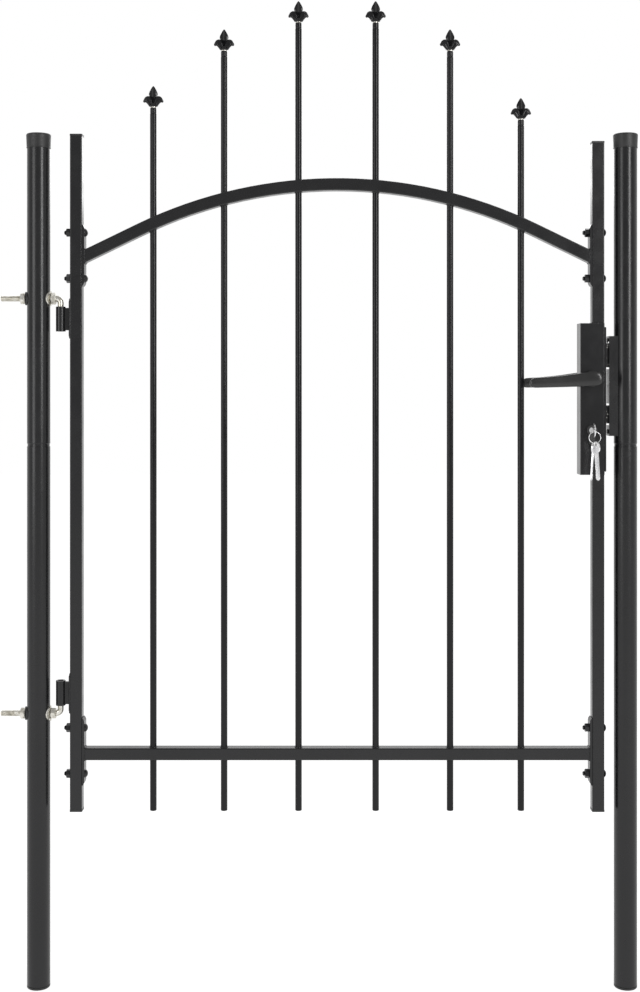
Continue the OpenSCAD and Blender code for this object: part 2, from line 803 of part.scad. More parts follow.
// The front lever, with its axis along Y through the origin
module lever() {
    hub_t = 8;
    gap = 0.5;
    y0 = case_y + gap;
    translate([0, -y0 - hub_t / 2, 0]) y_cylinder(hub_d, hub_t);
    translate([0, -(y0 + lever_out) / 2, 0]) y_cylinder(neck_d, lever_out - y0);
    rotate([0, -lever_droop, 0]) translate([0, -lever_out, 0]) hull() {
        y_cylinder(lever_root_h, lever_t - 2, $fn = hull_fn);
        y_cylinder(lever_root_h - 2, lever_t, $fn = hull_fn);
        translate([-lever_len + lever_tip_h / 2, 0, 0]) {
            y_cylinder(lever_tip_h, lever_t - 2, $fn = hull_fn);
            y_cylinder(lever_tip_h - 2, lever_t, $fn = hull_fn);
        }
    }
}

module lever_with_socket() {
    difference() {
        lever();
        cube([spindle, 2 * lever_out - 4, spindle], center = true);
    }
}

module front_lever() { color(black) on_lock_axis(lever_z) lever_with_socket(); }
module rear_lever() { color(black) on_lock_axis(lever_z) mirror([0, 1, 0]) lever_with_socket(); }
module lever_spindle() {
    color(zinc) on_lock_axis(lever_z) cube([spindle, 2 * lever_out - 4, spindle], center = true);
}

// ---------- keys ----------

// The working key: its blade in the cylinder, its bow upright and edge-on to the front
module door_key() {
    plug_gap = 0.2;
    stem = bow_out + 3;                            // runs into the cylinder's plug
    color(nickel) on_lock_axis(cylinder_z) {
        translate([0, -cylinder_face_y + 5, 0]) y_cylinder(11 - 2 * plug_gap, 10 - 2 * plug_gap);
        translate([0, -bow_y, 0]) rotate([0, 90, 0]) difference() {
            union() {
                cylinder(d = bow_d, h = key_t, center = true);
                translate([0, stem / 2, 0]) cube([9, stem, key_t], center = true);
            }
            translate([0, -bow_hole_out, 0]) cylinder(d = bow_hole, h = key_t + 2, center = true);
        }
    }
}

// The ring hangs through the hole in the working key's bow
module key_ring() {
    color(nickel) translate([axis_lock_x, -ring_y, ring_z]) rotate([90, 0, 0])
        rotate_extrude() translate([ring_r, 0]) circle(d = ring_wire);
}

// Two spare keys that hang from the bottom of the ring
module spare_keys() {
    spread = 1.7;
    tilt = 5;
    bow_edge = 2;                                  // metal between a bow's hole and its edge
    blade_w = 8;
    bow_r = spare_bow_d / 2;
    bow_x = bow_r - bow_hole / 2 - bow_edge;
    color(nickel) for (side = [-1, 1]) {
        translate([axis_lock_x + side * spread, -ring_y, ring_z - ring_r - ring_sag]) rotate([0, -side * tilt, 0])
            rotate([0, 90, 0]) linear_extrude(key_t, center = true) difference() {
                union() {
                    translate([bow_x, 0]) circle(bow_r);
                    translate([bow_x, -blade_w / 2]) square([key_len - bow_r, blade_w]);
                }
                circle(d = bow_hole);
            }
    }
}

// ---------- strike ----------

module strike_gap(z, h) {
    translate([strike_x - 1, -6 - strike_slack, z - h / 2 - strike_slack])
        cube([strike_out, strike_w, h + 2 * strike_slack]);
}

// A channel on the lock post: its front leg is the stop, and its rear is open for the bolts
module strike() {
    color(black) difference() {
        translate([strike_x, 0, strike_z - strike_h / 2]) linear_extrude(strike_h) difference() {
            translate([0, -strike_w / 2]) square([strike_out, strike_w]);
            translate([strike_t, -strike_w / 2 + strike_t]) square([strike_out, strike_w - 2 * strike_t]);
        }
        translate([post_span, 0, 0]) cylinder(r = post_r, h = 5 * far);
        strike_gap(latch_z, latch_h);
        strike_gap(bolt_z, bolt_h);
        for (z = [strike_z - strike_h / 2 + 7, strike_z + strike_h / 2 - 7, strike_z])
            translate([strike_x - 1, 0, z]) x_cylinder(4.4, strike_out);
    }
}

module strike_screws() {
    color(black) for (z = [strike_z - strike_h / 2 + 7, strike_z + strike_h / 2 - 7]) {
        translate([strike_x - 2, 0, z]) {
            x_cylinder(screw_head_d, 2);
            x_cylinder(4, strike_out - post_r + 2);
        }
    }
}

hinge_post_lower();
hinge_post_upper();
hinge_post_cap();
hinge_post_plug();
lock_post_lower();
lock_post_upper();
lock_post_cap();
lock_post_plug();
upper_hinge_rod();
lower_hinge_rod();
hinge_nuts();
hinge_washers();
hinge_saddles();
strike();
strike_screws();
hinge_stile();
lock_stile_upper();
lock_stile_lower();
stile_caps();
arch();
bottom_rail();
bar_1();
bar_2();
bar_3();
bar_4();
bar_5();
bar_6();
finial_1();
finial_2();
finial_3();
finial_4();
finial_5();
finial_6();
end_plates();
plate_bolts();
plate_nuts();
upper_hinge_eye();
lower_hinge_eye();
lock_case();
lock_forend();
lock_cylinder();
front_lever();
rear_lever();
lever_spindle();
latch();
dead_bolt();
door_key();
key_ring();
spare_keys();
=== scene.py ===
import math

import bmesh
import bpy
from mathutils import Matrix, Vector, noise


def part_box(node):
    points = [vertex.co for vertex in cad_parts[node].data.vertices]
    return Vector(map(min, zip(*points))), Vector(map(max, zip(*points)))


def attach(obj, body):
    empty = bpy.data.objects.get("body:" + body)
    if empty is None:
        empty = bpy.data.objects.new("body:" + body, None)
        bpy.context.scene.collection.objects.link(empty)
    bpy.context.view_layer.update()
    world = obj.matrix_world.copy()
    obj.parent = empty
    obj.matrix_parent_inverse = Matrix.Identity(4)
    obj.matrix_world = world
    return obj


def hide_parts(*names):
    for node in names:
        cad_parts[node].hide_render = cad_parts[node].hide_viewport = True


# a steel garden gate: finer pieces stand in for many CAD nodes, and the others only get a finish
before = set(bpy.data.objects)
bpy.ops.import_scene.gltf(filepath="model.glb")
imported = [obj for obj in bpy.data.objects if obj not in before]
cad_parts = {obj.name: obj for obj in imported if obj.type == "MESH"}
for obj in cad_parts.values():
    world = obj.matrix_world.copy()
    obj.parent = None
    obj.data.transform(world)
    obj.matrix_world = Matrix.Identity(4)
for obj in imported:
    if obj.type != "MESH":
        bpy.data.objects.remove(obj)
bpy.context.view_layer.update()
print("frame loaded:", len(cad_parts), "nodes")

xAxis, yAxis, zAxis = Vector((1, 0, 0)), Vector((0, 1, 0)), Vector((0, 0, 1))
mm = 0.001


viewSettings = {
    "distance": 2.30,      # from the gate's plane
    "height": 1.000,
    "side": 0.4836,        # how far right of the hinge post
    "frameX": 0.4670,      # middle of the picture on the gate's plane
    "frameZ": 0.8134,
    "longSide": 1.6467,    # height of the picture on the gate's plane
}


def addCamera(s):
    camData = bpy.data.cameras.new("viewCamera")
    camera = bpy.data.objects.new("viewCamera", camData)
    bpy.context.scene.collection.objects.link(camera)
    camera.location = (s["side"], -s["distance"], s["height"])
    camera.rotation_euler = (math.radians(90), 0, 0)
    camData.lens = camData.sensor_width * s["distance"] / s["longSide"]
    camData.shift_x = (s["frameX"] - s["side"]) / s["longSide"]
    camData.shift_y = (s["frameZ"] - s["height"]) / s["longSide"]
    camData.clip_start = 0.05
    camData.clip_end = 60
    bpy.context.scene.camera = camera


addCamera(viewSettings)

roomSettings = {
    "floorSize": 24.0,
    "floorMiddle": (0.487, 0.9, 0),
    "floorGrey": 0.92,
    "floorGlow": 1.25,
    "floorShadow": 0.34,      # share of the floor that is lit by the lamps, the rest is plain white
    "worldLight": 0.62,
    "frontRoom": 0.46,        # how bright the room in front is in reflections
    "roomEdge": (-0.45, 0.30),      # where it fades into the white backdrop
}
# name, place, aim, size and watts
lampSettings = [
    ("keyLamp", (2.3, -2.3, 1.9), (0.5, 0, 0.9), (0.7, 2.0), 42),
    ("fillLamp", (-1.7, -2.2, 1.4), (0.5, 0, 0.8), (1.2, 1.8), 20),
    ("backLamp", (0.8, 2.6, 2.2), (0.5, 0, 0.8), (1.6, 1.2), 16),
]


def cameraGlossyRay(nodes, links):
    lightPath = nodes.new("ShaderNodeLightPath")
    first = nodes.new("ShaderNodeMath")
    first.operation = "MAXIMUM"
    links.new(lightPath.outputs["Is Camera Ray"], first.inputs[0])
    links.new(lightPath.outputs["Is Glossy Ray"], first.inputs[1])
    second = nodes.new("ShaderNodeMath")
    second.operation = "MAXIMUM"
    links.new(first.outputs[0], second.inputs[0])
    links.new(lightPath.outputs["Is Transmission Ray"], second.inputs[1])
    return second.outputs[0]


def addWorld(s):
    world = bpy.data.worlds.new("studio")
    bpy.context.scene.world = world
    world.use_nodes = True
    nodes, links = world.node_tree.nodes, world.node_tree.links
    nodes.clear()
    out = nodes.new("ShaderNodeOutputWorld")
    mix = nodes.new("ShaderNodeMixShader")
    light = nodes.new("ShaderNodeBackground")
    light.inputs["Color"].default_value = (1, 1, 1, 1)
    light.inputs["Strength"].default_value = s["worldLight"]
    seen = nodes.new("ShaderNodeBackground")
    seen.inputs["Color"].default_value = (1, 1, 1, 1)
    direction = nodes.new("ShaderNodeTexCoord")
    parts = nodes.new("ShaderNodeSeparateXYZ")
    links.new(direction.outputs["Generated"], parts.inputs[0])
    room = nodes.new("ShaderNodeMapRange")      # the room in front is dimmer than the white backdrop
    room.inputs["From Min"].default_value = s["roomEdge"][0]
    room.inputs["From Max"].default_value = s["roomEdge"][1]
    room.inputs["To Min"].default_value = s["frontRoom"]
    room.inputs["To Max"].default_value = 1.0
    links.new(parts.outputs["Y"], room.inputs["Value"])
    path = nodes.new("ShaderNodeLightPath")
    brighter = nodes.new("ShaderNodeMath")
    brighter.operation = "MAXIMUM"
    links.new(path.outputs["Is Camera Ray"], brighter.inputs[0])
    links.new(room.outputs["Result"], brighter.inputs[1])
    links.new(brighter.outputs[0], seen.inputs["Strength"])
    links.new(cameraGlossyRay(nodes, links), mix.inputs[0])
    links.new(light.outputs[0], mix.inputs[1])
    links.new(seen.outputs[0], mix.inputs[2])
    links.new(mix.outputs[0], out.inputs["Surface"])


def addFloor(s):
    bm = bmesh.new()
    bmesh.ops.create_grid(bm, x_segments=1, y_segments=1, size=s["floorSize"] / 2)
    bmesh.ops.translate(bm, verts=bm.verts, vec=s["floorMiddle"])
    mesh = bpy.data.meshes.new("floor")
    bm.to_mesh(mesh)
    bm.free()
    floor = bpy.data.objects.new("floor", mesh)
    bpy.context.scene.collection.objects.link(floor)
    mat = bpy.data.materials.new("paleFloor")
    mat.use_nodes = True
    nodes, links = mat.node_tree.nodes, mat.node_tree.links
    nodes.clear()
    out = nodes.new("ShaderNodeOutputMaterial")
    matte = nodes.new("ShaderNodeBsdfDiffuse")
    matte.inputs["Color"].default_value = (*[s["floorGrey"]] * 3, 1)
    white = nodes.new("ShaderNodeEmission")
    white.inputs["Color"].default_value = (1, 1, 1, 1)
    white.inputs["Strength"].default_value = s["floorGlow"]
    mix = nodes.new("ShaderNodeMixShader")
    share = nodes.new("ShaderNodeMath")
    share.operation = "MULTIPLY"
    links.new(cameraGlossyRay(nodes, links), share.inputs[0])
    share.inputs[1].default_value = 1 - s["floorShadow"]
    links.new(share.outputs[0], mix.inputs[0])
    links.new(matte.outputs[0], mix.inputs[1])
    links.new(white.outputs[0], mix.inputs[2])
    links.new(mix.outputs[0], out.inputs["Surface"])
    mesh.materials.append(mat)


def addLamp(name, place, aim, size, watts):
    lamp = bpy.data.lights.new(name, "AREA")
    lamp.shape = "RECTANGLE"
    lamp.size, lamp.size_y = size
    lamp.energy = watts
    holder = bpy.data.objects.new(name, lamp)
    bpy.context.scene.collection.objects.link(holder)
    holder.location = place
    holder.rotation_euler = (Vector(aim) - Vector(place)).to_track_quat("-Z", "Y").to_euler()


addWorld(roomSettings)
addFloor(roomSettings)
for lampRow in lampSettings:
    addLamp(*lampRow)
bpy.context.scene.view_settings.view_transform = "Standard"
print("camera, room and lamps made")


def startMaterial(name):
    mat = bpy.data.materials.new(name)
    mat.use_nodes = True
    nodes, links = mat.node_tree.nodes, mat.node_tree.links
    shader = next(n for n in nodes if n.type == "BSDF_PRINCIPLED")
    coords = nodes.new("ShaderNodeTexCoord")
    return mat, nodes, links, shader, coords.outputs["Object"]


def addNoise(nodes, links, coords, scale, detail=3.0, stretch=None):
    tex = nodes.new("ShaderNodeTexNoise")
    tex.inputs["Scale"].default_value = scale
    tex.inputs["Detail"].default_value = detail
    if stretch:
        mapping = nodes.new("ShaderNodeMapping")
        mapping.inputs["Scale"].default_value = stretch
        links.new(coords, mapping.inputs["Vector"])
        coords = mapping.outputs["Vector"]
    links.new(coords, tex.inputs["Vector"])
    return tex.outputs["Fac"]


def addRange(nodes, links, value, low, high, fromLow=0.3, fromHigh=0.7):
    ramp = nodes.new("ShaderNodeMapRange")
    ramp.inputs["From Min"].default_value = fromLow
    ramp.inputs["From Max"].default_value = fromHigh
    ramp.inputs["To Min"].default_value = low
    ramp.inputs["To Max"].default_value = high
    links.new(value, ramp.inputs["Value"])
    return ramp.outputs["Result"]


def addColours(nodes, links, value, stops):
    ramp = nodes.new("ShaderNodeValToRGB")
    elements = ramp.color_ramp.elements
    while len(elements) < len(stops):
        elements.new(0.5)
    for element, (place, colour) in zip(elements, stops):
        element.position = place
        element.color = (*colour, 1)
    links.new(value, ramp.inputs["Fac"])
    return ramp.outputs["Color"]


def addBump(nodes, links, shader, heights):
    last = None
    for value, strength, distance in heights:
        bump = nodes.new("ShaderNodeBump")
        bump.inputs["Strength"].default_value = strength
        bump.inputs["Distance"].default_value = distance
        links.new(value, bump.inputs["Height"])
        if last:
            links.new(last, bump.inputs["Normal"])
        last = bump.outputs["Normal"]
    links.new(last, shader.inputs["Normal"])


coatSettings = {
    "dark": (0.0050, 0.0050, 0.0056),
    "light": (0.0100, 0.0100, 0.0108),
    "toneScale": 5.5,         # clouds of tone, drawn out along the height
    "toneStretch": (1, 1, 0.35),
    "dustScale": 38,
    "waveScale": 90,
    "waveHeight": 0.00012,
    "peelScale": 620,         # orange peel of the powder coat, per metre
    "peelHeight": 0.00011,
    "roughLow": 0.20,
    "roughHigh": 0.30,
    "ior": 1.45,
}


def powderCoat(name, s, roughShift=0.0, peel=1.0):
    mat, nodes, links, shader, coords = startMaterial(name)
    tone = addNoise(nodes, links, coords, s["toneScale"], 4, s["toneStretch"])
    colour = addColours(nodes, links, tone, [(0.32, s["dark"]), (0.70, s["light"])])
    links.new(colour, shader.inputs["Base Color"])
    dust = addNoise(nodes, links, coords, s["dustScale"], 5)
    rough = addRange(nodes, links, dust, s["roughLow"] + roughShift, s["roughHigh"] + roughShift)
    links.new(rough, shader.inputs["Roughness"])
    shader.inputs["IOR"].default_value = s["ior"]
    fine = addNoise(nodes, links, coords, s["peelScale"], 2)
    wide = addNoise(nodes, links, coords, s["waveScale"], 2)
    addBump(nodes, links, shader, [(wide, 0.25, s["waveHeight"]), (fine, 0.40 * peel, s["peelHeight"])])
    return mat


def mouldedPlastic(name):
    mat, nodes, links, shader, coords = startMaterial(name)
    tone = addNoise(nodes, links, coords, 60, 3)
    colour = addColours(nodes, links, tone, [(0.3, (0.010, 0.010, 0.010)), (0.7, (0.018, 0.018, 0.018))])
    links.new(colour, shader.inputs["Base Color"])
    patches = addNoise(nodes, links, coords, 240, 3)
    links.new(addRange(nodes, links, patches, 0.42, 0.56), shader.inputs["Roughness"])
    grain = addNoise(nodes, links, coords, 2600, 2)
    addBump(nodes, links, shader, [(grain, 0.3, 0.00003)])
    return mat


zincSettings = {"dark": (0.44, 0.42, 0.36), "mid": (0.66, 0.64, 0.58), "light": (0.82, 0.81, 0.77)}


def zincPlating(name, s):
    mat, nodes, links, shader, coords = startMaterial(name)
    cloud = addNoise(nodes, links, coords, 130, 5)
    colour = addColours(nodes, links, cloud, [(0.30, s["dark"]), (0.50, s["mid"]), (0.70, s["light"])])
    links.new(colour, shader.inputs["Base Color"])
    shader.inputs["Metallic"].default_value = 1.0
    patches = addNoise(nodes, links, coords, 420, 4)
    links.new(addRange(nodes, links, patches, 0.24, 0.46), shader.inputs["Roughness"])
    grain = addNoise(nodes, links, coords, 900, 3)
    addBump(nodes, links, shader, [(grain, 0.3, 0.00008)])
    return mat


def nickelPlating(name, brushed):
    mat, nodes, links, shader, coords = startMaterial(name)
    cloud = addNoise(nodes, links, coords, 90, 3)
    colour = addColours(nodes, links, cloud, [(0.3, (0.80, 0.80, 0.81)), (0.7, (0.94, 0.94, 0.94))])
    links.new(colour, shader.inputs["Base Color"])
    shader.inputs["Metallic"].default_value = 1.0
    grain = addNoise(nodes, links, coords, 700, 3, (1, 1, 0.06) if brushed else None)
    links.new(addRange(nodes, links, grain, 0.14, 0.30), shader.inputs["Roughness"])
    addBump(nodes, links, shader, [(grain, 0.2, 0.00004)])
    return mat


def wornSteel(name):
    mat, nodes, links, shader, coords = startMaterial(name)
    spots = nodes.new("ShaderNodeTexVoronoi")
    spots.inputs["Scale"].default_value = 260
    spots.inputs["Randomness"].default_value = 1.0
    links.new(coords, spots.inputs["Vector"])
    patch = addNoise(nodes, links, coords, 95, 4)
    chip = nodes.new("ShaderNodeMath")
    chip.operation = "SUBTRACT"
    links.new(patch, chip.inputs[0])
    links.new(spots.outputs["Distance"], chip.inputs[1])
    bare = addRange(nodes, links, chip.outputs[0], 0.0, 1.0, 0.28, 0.36)
    colour = addColours(nodes, links, bare, [(0.0, (0.014, 0.014, 0.015)), (1.0, (0.62, 0.61, 0.58))])
    links.new(colour, shader.inputs["Base Color"])
    links.new(bare, shader.inputs["Metallic"])
    links.new(addRange(nodes, links, bare, 0.42, 0.26, 0.0, 1.0), shader.inputs["Roughness"])
    addBump(nodes, links, shader, [(bare, 0.3, -0.00010)])
    return mat


barCoat = {**coatSettings, "ior": 1.32}
castCoat = {**coatSettings, "ior": 1.36}
leverCoat = {**coatSettings, "dark": (0.010, 0.010, 0.010), "light": (0.020, 0.020, 0.020), "ior": 1.5}
cylinderCoat = {**coatSettings, "dark": (0.020, 0.020, 0.020), "light": (0.045, 0.045, 0.045), "ior": 1.6}

# name, settings, roughness added to the frame's coat and share of its orange peel
coatFrame = powderCoat("blackPowderCoat", coatSettings)
coatBar = powderCoat("blackBarCoat", barCoat, -0.10, 0.15)
coatCast = powderCoat("blackPaintedCasting", castCoat, -0.09, 0.5)
coatBolt = powderCoat("blackPlatedBolt", coatSettings, -0.10, 0.4)
coatLock = powderCoat("blackLockCoat", coatSettings, -0.06, 0.6)
coatLever = powderCoat("blackLeverCoat", leverCoat, -0.02, 0.5)
blackPlastic = mouldedPlastic("blackMouldedPlastic")
zincFinish = zincPlating("zincPlatedSteel", zincSettings)
nickelFinish = nickelPlating("nickelPlatedBrass", False)
cylinderFinish = powderCoat("darkCylinderPlating", cylinderCoat, 0.02, 0.3)
brushedNickel = nickelPlating("brushedKeyNickel", True)
boltFinish = wornSteel("wornBlackBolt")
print("finishes made")


def linkRing(bm, places):
    made = bmesh.ops.create_circle(bm, cap_ends=False, segments=len(places), radius=1.0)["verts"]
    vert, edge, edges = made[0], made[0].link_edges[0], []
    for place in places:                     # walks round the circle and puts each vertex in its place
        vert.co = place
        edges.append(edge)
        vert = edge.other_vert(vert)
        edge = next((e for e in vert.link_edges if e != edge), edge)
    return edges


# bridges the rings in order and caps both ends, unless they close on themselves
def skinRings(bm, rings, closed=False):
    loops = [linkRing(bm, places) for places in rings]
    pairs = list(zip(loops, loops[1:]))
    if closed:
        pairs.append((loops[-1], loops[0]))
    for first, second in pairs:
        bmesh.ops.bridge_loops(bm, edges=first + second)
    if not closed:
        for loop in (loops[0], loops[-1]):
            bmesh.ops.contextual_create(bm, geom=loop)


# support loops keep a long wall's shading straight
spinSettings = {"longWall": 0.003, "loopInset": 0.0003}


# a turned shape from its profile, as pairs of radius and height
def spinProfile(bm, profile, place, axis, segments=48):
    toAxis = axis.to_track_quat("Z", "Y").to_matrix().to_4x4()
    toAxis.translation = place
    held = [profile[0]]
    for first, second in zip(profile, profile[1:]):
        reach = math.dist(first, second)
        if reach > spinSettings["longWall"]:
            near = spinSettings["loopInset"] / reach
            for t in (near, 1 - near):
                held.append(tuple(a + (b - a) * t for a, b in zip(first, second)))
        held.append(second)
    verts = [bm.verts.new(toAxis @ Vector((radius, 0, height))) for radius, height in held]
    edges = [bm.edges.new(pair) for pair in zip(verts, verts[1:])]
    bmesh.ops.spin(bm, geom=verts + edges, cent=place, axis=axis, dvec=(0, 0, 0),
                   angle=2 * math.pi, steps=segments, use_merge=True)


# one tooth spun along a helix, then cut off square at both ends
def cutThread(bm, start, axis, length, radius, depth, pitch, steps=20):
    body = bmesh.new()
    toAxis = axis.to_track_quat("Z", "Y").to_matrix().to_4x4()
    toAxis.translation = start - axis * pitch
    root = radius - depth
    tooth = [(root, 0), (root, 0.12), (radius, 0.45), (radius, 0.6), (root, 1)]
    verts = [body.verts.new(toAxis @ Vector((r, 0, h * pitch))) for r, h in tooth]
    edges = [body.edges.new(pair) for pair in zip(verts, verts[1:])]
    turns = math.ceil(length / pitch) + 2
    bmesh.ops.spin(body, geom=verts + edges, cent=start, axis=axis, dvec=axis * (pitch / steps),
                   angle=2 * math.pi * turns, steps=steps * turns, use_merge=False)
    bmesh.ops.remove_doubles(body, verts=body.verts, dist=2e-6)
    for place, normal in ((start, -axis), (start + axis * length, axis)):
        cut = bmesh.ops.bisect_plane(body, geom=body.verts[:] + body.edges[:] + body.faces[:], dist=1e-7,
                                     plane_co=place, plane_no=normal, clear_outer=True)
        rim = [part for part in cut["geom_cut"] if isinstance(part, bmesh.types.BMEdge)]
        bmesh.ops.edgenet_fill(body, edges=rim)
    addBody(bm, body)


def addBody(bm, body):
    mesh = bpy.data.meshes.new("part")
    body.to_mesh(mesh)
    body.free()
    bm.from_mesh(mesh)
    bpy.data.meshes.remove(mesh)


nutSettings = {"sides": 48, "facing": 0.94, "chamfer": 0.62, "land": 0.00012}


def hexNut(bm, place, axis, flats, thickness, roll=0.0):
    toAxis = axis.to_track_quat("Z", "Y").to_matrix().to_4x4()
    toAxis.translation = place
    half, sides, land = flats / 2, nutSettings["sides"], nutSettings["land"]
    angles = [2 * math.pi * i / sides for i in range(sides)]
    corner = [half / math.cos((a % (math.pi / 3)) - math.pi / 6) for a in angles]

    def ring(radii, heights):
        return [toAxis @ Vector((r * math.cos(a + roll), r * math.sin(a + roll), h))
                for r, a, h in zip(radii, angles, heights)]

    drop = [(r - half) * nutSettings["chamfer"] for r in corner]
    face = [half * nutSettings["facing"]] * sides
    skinRings(bm, [
        ring(face, [0] * sides),
        ring(corner, [d + land for d in drop]),
        ring(corner, [thickness - land - d for d in drop]),
        ring(face, [thickness] * sides),
    ])


def bevelBox(bm, low, high, radius, segments):
    body = bmesh.new()
    bmesh.ops.create_cube(body, size=1.0)
    bmesh.ops.scale(body, verts=body.verts, vec=[b - a for a, b in zip(low, high)])
    bmesh.ops.translate(body, verts=body.verts, vec=[(a + b) / 2 for a, b in zip(low, high)])
    bmesh.ops.bevel(body, geom=body.edges[:], offset=radius, offset_type="OFFSET", segments=segments,
                    profile=0.5, affect="EDGES", material=-1, clamp_overlap=True)
    addBody(bm, body)


def tubeAlong(bm, path, radius, sides=10, closed=False, radii=None):
    rings = []
    up = None
    for i, place in enumerate(path):
        before = path[i - 1] if (i or closed) else path[0]
        after = path[(i + 1) % len(path)] if (closed or i + 1 < len(path)) else path[-1]
        forward = (after - before).normalized()
        if up is None:
            up = forward.orthogonal().normalized()
        up = (up - forward * up.dot(forward)).normalized()
        side = forward.cross(up)
        r = radii[i] if radii else radius
        rings.append([place + (up * math.cos(a) + side * math.sin(a)) * r
                      for a in (2 * math.pi * k / sides for k in range(sides))])
    skinRings(bm, rings, closed)


beadSettings = {"lump": 0.28, "lumpScale": 420, "ripple": 0.12, "rippleStep": 1.9, "end": 0.45}


# a bead with the ripples and lumps of a hand weld
def weldBead(bm, path, radius, closed=False):
    s, radii = beadSettings, []
    for i, place in enumerate(path):
        lump = noise.noise(place * s["lumpScale"]) * s["lump"]
        ripple = s["ripple"] * math.sin(i * s["rippleStep"])
        taper = 1.0 if closed or 0 < i < len(path) - 1 else s["end"]
        radii.append(radius * (1 + lump + ripple) * taper)
    tubeAlong(bm, path, radius, 8, closed, radii)


def straightPath(start, end, count):
    start, end = Vector(start), Vector(end)
    return [start.lerp(end, i / (count - 1)) for i in range(count)]


def finishPiece(name, bm, mat, body, replaced=(), sharpAngle=35):
    bmesh.ops.remove_doubles(bm, verts=bm.verts, dist=1e-6)
    bmesh.ops.recalc_face_normals(bm, faces=bm.faces)
    mesh = bpy.data.meshes.new(name)
    bm.to_mesh(mesh)
    bm.free()
    mesh.materials.append(mat)
    mesh.shade_smooth()
    mesh.set_sharp_from_angle(angle=math.radians(sharpAngle))
    piece = bpy.data.objects.new(name, mesh)
    bpy.context.scene.collection.objects.link(piece)
    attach(piece, body)
    if replaced:
        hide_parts(*replaced)


def boxOf(node):
    low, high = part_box(node)
    return low, high, (low + high) / 2


postSettings = {
    "segments": 96,
    "wallEdge": 0.0006,
    "jointGroove": 0.0008,
    "capRound": 0.0025,
    "capSteps": 8,
    "skirt": 0.0002,        # how far the cap's skirt reaches into the tube
}


def addPost(side, s):
    low, high, centre = boxOf(side + "_lower")
    radius = (high.x - low.x) / 2
    jointZ = high.z
    foot = Vector((centre.x, centre.y, 0))
    e = s["wallEdge"]
    bm = bmesh.new()
    spinProfile(bm, [
        (0, low.z), (radius - e, low.z), (radius, low.z + e), (radius, jointZ - e),
        (radius - e * 0.3, jointZ - e * 0.3), (radius - e, jointZ), (0, jointZ),
    ], foot, zAxis, s["segments"])
    finishPiece(side + "_lower_tube", bm, coatFrame, "posts", [side + "_lower"])

    topZ = boxOf(side + "_upper")[1].z
    neck = radius - s["jointGroove"]        # the neck runs into the lower tube
    bm = bmesh.new()
    spinProfile(bm, [
        (0, jointZ - 0.004), (neck, jointZ - 0.004), (neck, jointZ + 0.0040),
        (neck + 0.0004, jointZ + 0.0044), (radius, jointZ + 0.0052), (radius, topZ), (0, topZ),
    ], foot, zAxis, s["segments"])
    finishPiece(side + "_upper_tube", bm, coatFrame, "posts", [side + "_upper"])

    capLow, capHigh, _ = boxOf(side + "_cap")
    capR = (capHigh.x - capLow.x) / 2
    capTop, skirt, bend = capHigh.z, s["skirt"], s["capRound"]
    bm = bmesh.new()
    profile = [(radius - skirt, capLow.z), (capR - 0.0009, capLow.z), (capR - 0.0004, capLow.z + 0.0004),
               (capR - 0.0004, capLow.z + 0.0016), (capR - 0.0007, capLow.z + 0.0019)]
    for i in range(s["capSteps"] + 1):
        a = math.pi / 2 * i / s["capSteps"]
        profile.append((capR - bend + bend * math.cos(a), capTop - bend + bend * math.sin(a)))
    profile += [(capR * 0.45, capTop - 0.0001), (0.0022, capTop - 0.0002), (0.0018, capTop - 0.0005),
                (0, capTop - 0.0005), (0, capTop - 0.003), (radius - skirt, capTop - 0.003),
                (radius - skirt, capLow.z)]
    spinProfile(bm, profile, foot, zAxis, s["segments"])
    finishPiece(side + "_cap_moulding", bm, blackPlastic, "posts", [side + "_cap"])

    bm = bmesh.new()
    spinProfile(bm, [
        (0, 0), (radius - 0.0008, 0), (radius - 0.0002, 0.0006), (radius, 0.0014),
        (radius, low.z - 0.0004), (radius - 0.0006, low.z), (0, low.z),
    ], foot, zAxis, s["segments"])
    finishPiece(side + "_plug_moulding", bm, blackPlastic, "posts", [side + "_plug"])


for side in ("hinge_post", "lock_post"):
    addPost(side, postSettings)
print("posts made")


barNumbers = range(1, 7)
finialSettings = {
    "barEdge": 0.0005,
    "barSegments": 40,
    "collarRadius": 0.0053,
    "collarSegments": 32,
    "bladePower": 0.78,       # below 1 the flanks are hollow between rib and edge
    "bladeSides": 24,
    "petalSides": 28,
    "veinDepth": 0.30,        # a vein along the front and the back of a petal
    "veinSharpness": 14,
    "beadRadius": 0.0006,
    "beadAround": 5.0,
    "beadPoints": 24,
    # the ring below paints the highlight in the groove under the petals
    "ringRadius": 0.0047,
    "ringFoot": 0.0104,
    "ringHeight": 0.0016,
    "ringEdge": 0.0002,
}

# half-width, half-depth and height above the bar of the spear's blade
bladeStations = [
    (3.0, 3.4, 12.0), (3.9, 4.2, 17.0), (4.4, 4.6, 22.0), (4.9, 4.8, 26.0), (6.3, 4.9, 29.4),
    (7.25, 4.9, 32.2), (7.35, 4.7, 34.0), (6.6, 4.2, 36.6), (5.2, 3.4, 39.6), (3.7, 2.5, 42.4),
    (2.2, 1.5, 44.9), (0.9, 0.7, 46.4), (0.2, 0.2, 46.95),
]
# middle line (outwards, up), thickness and width of a petal
petalStations = [
    (3.2, 14.0, 7.6, 7.0), (4.2, 16.2, 8.4, 8.0), (5.6, 19.2, 9.8, 8.8), (7.0, 22.2, 12.0, 9.2),
    (8.9, 24.6, 11.8, 9.0), (10.9, 24.7, 9.4, 8.2), (12.8, 23.3, 7.0, 7.0), (14.4, 21.9, 5.4, 5.8),
    (15.7, 21.0, 4.0, 4.4), (16.6, 20.5, 1.8, 2.2),
]


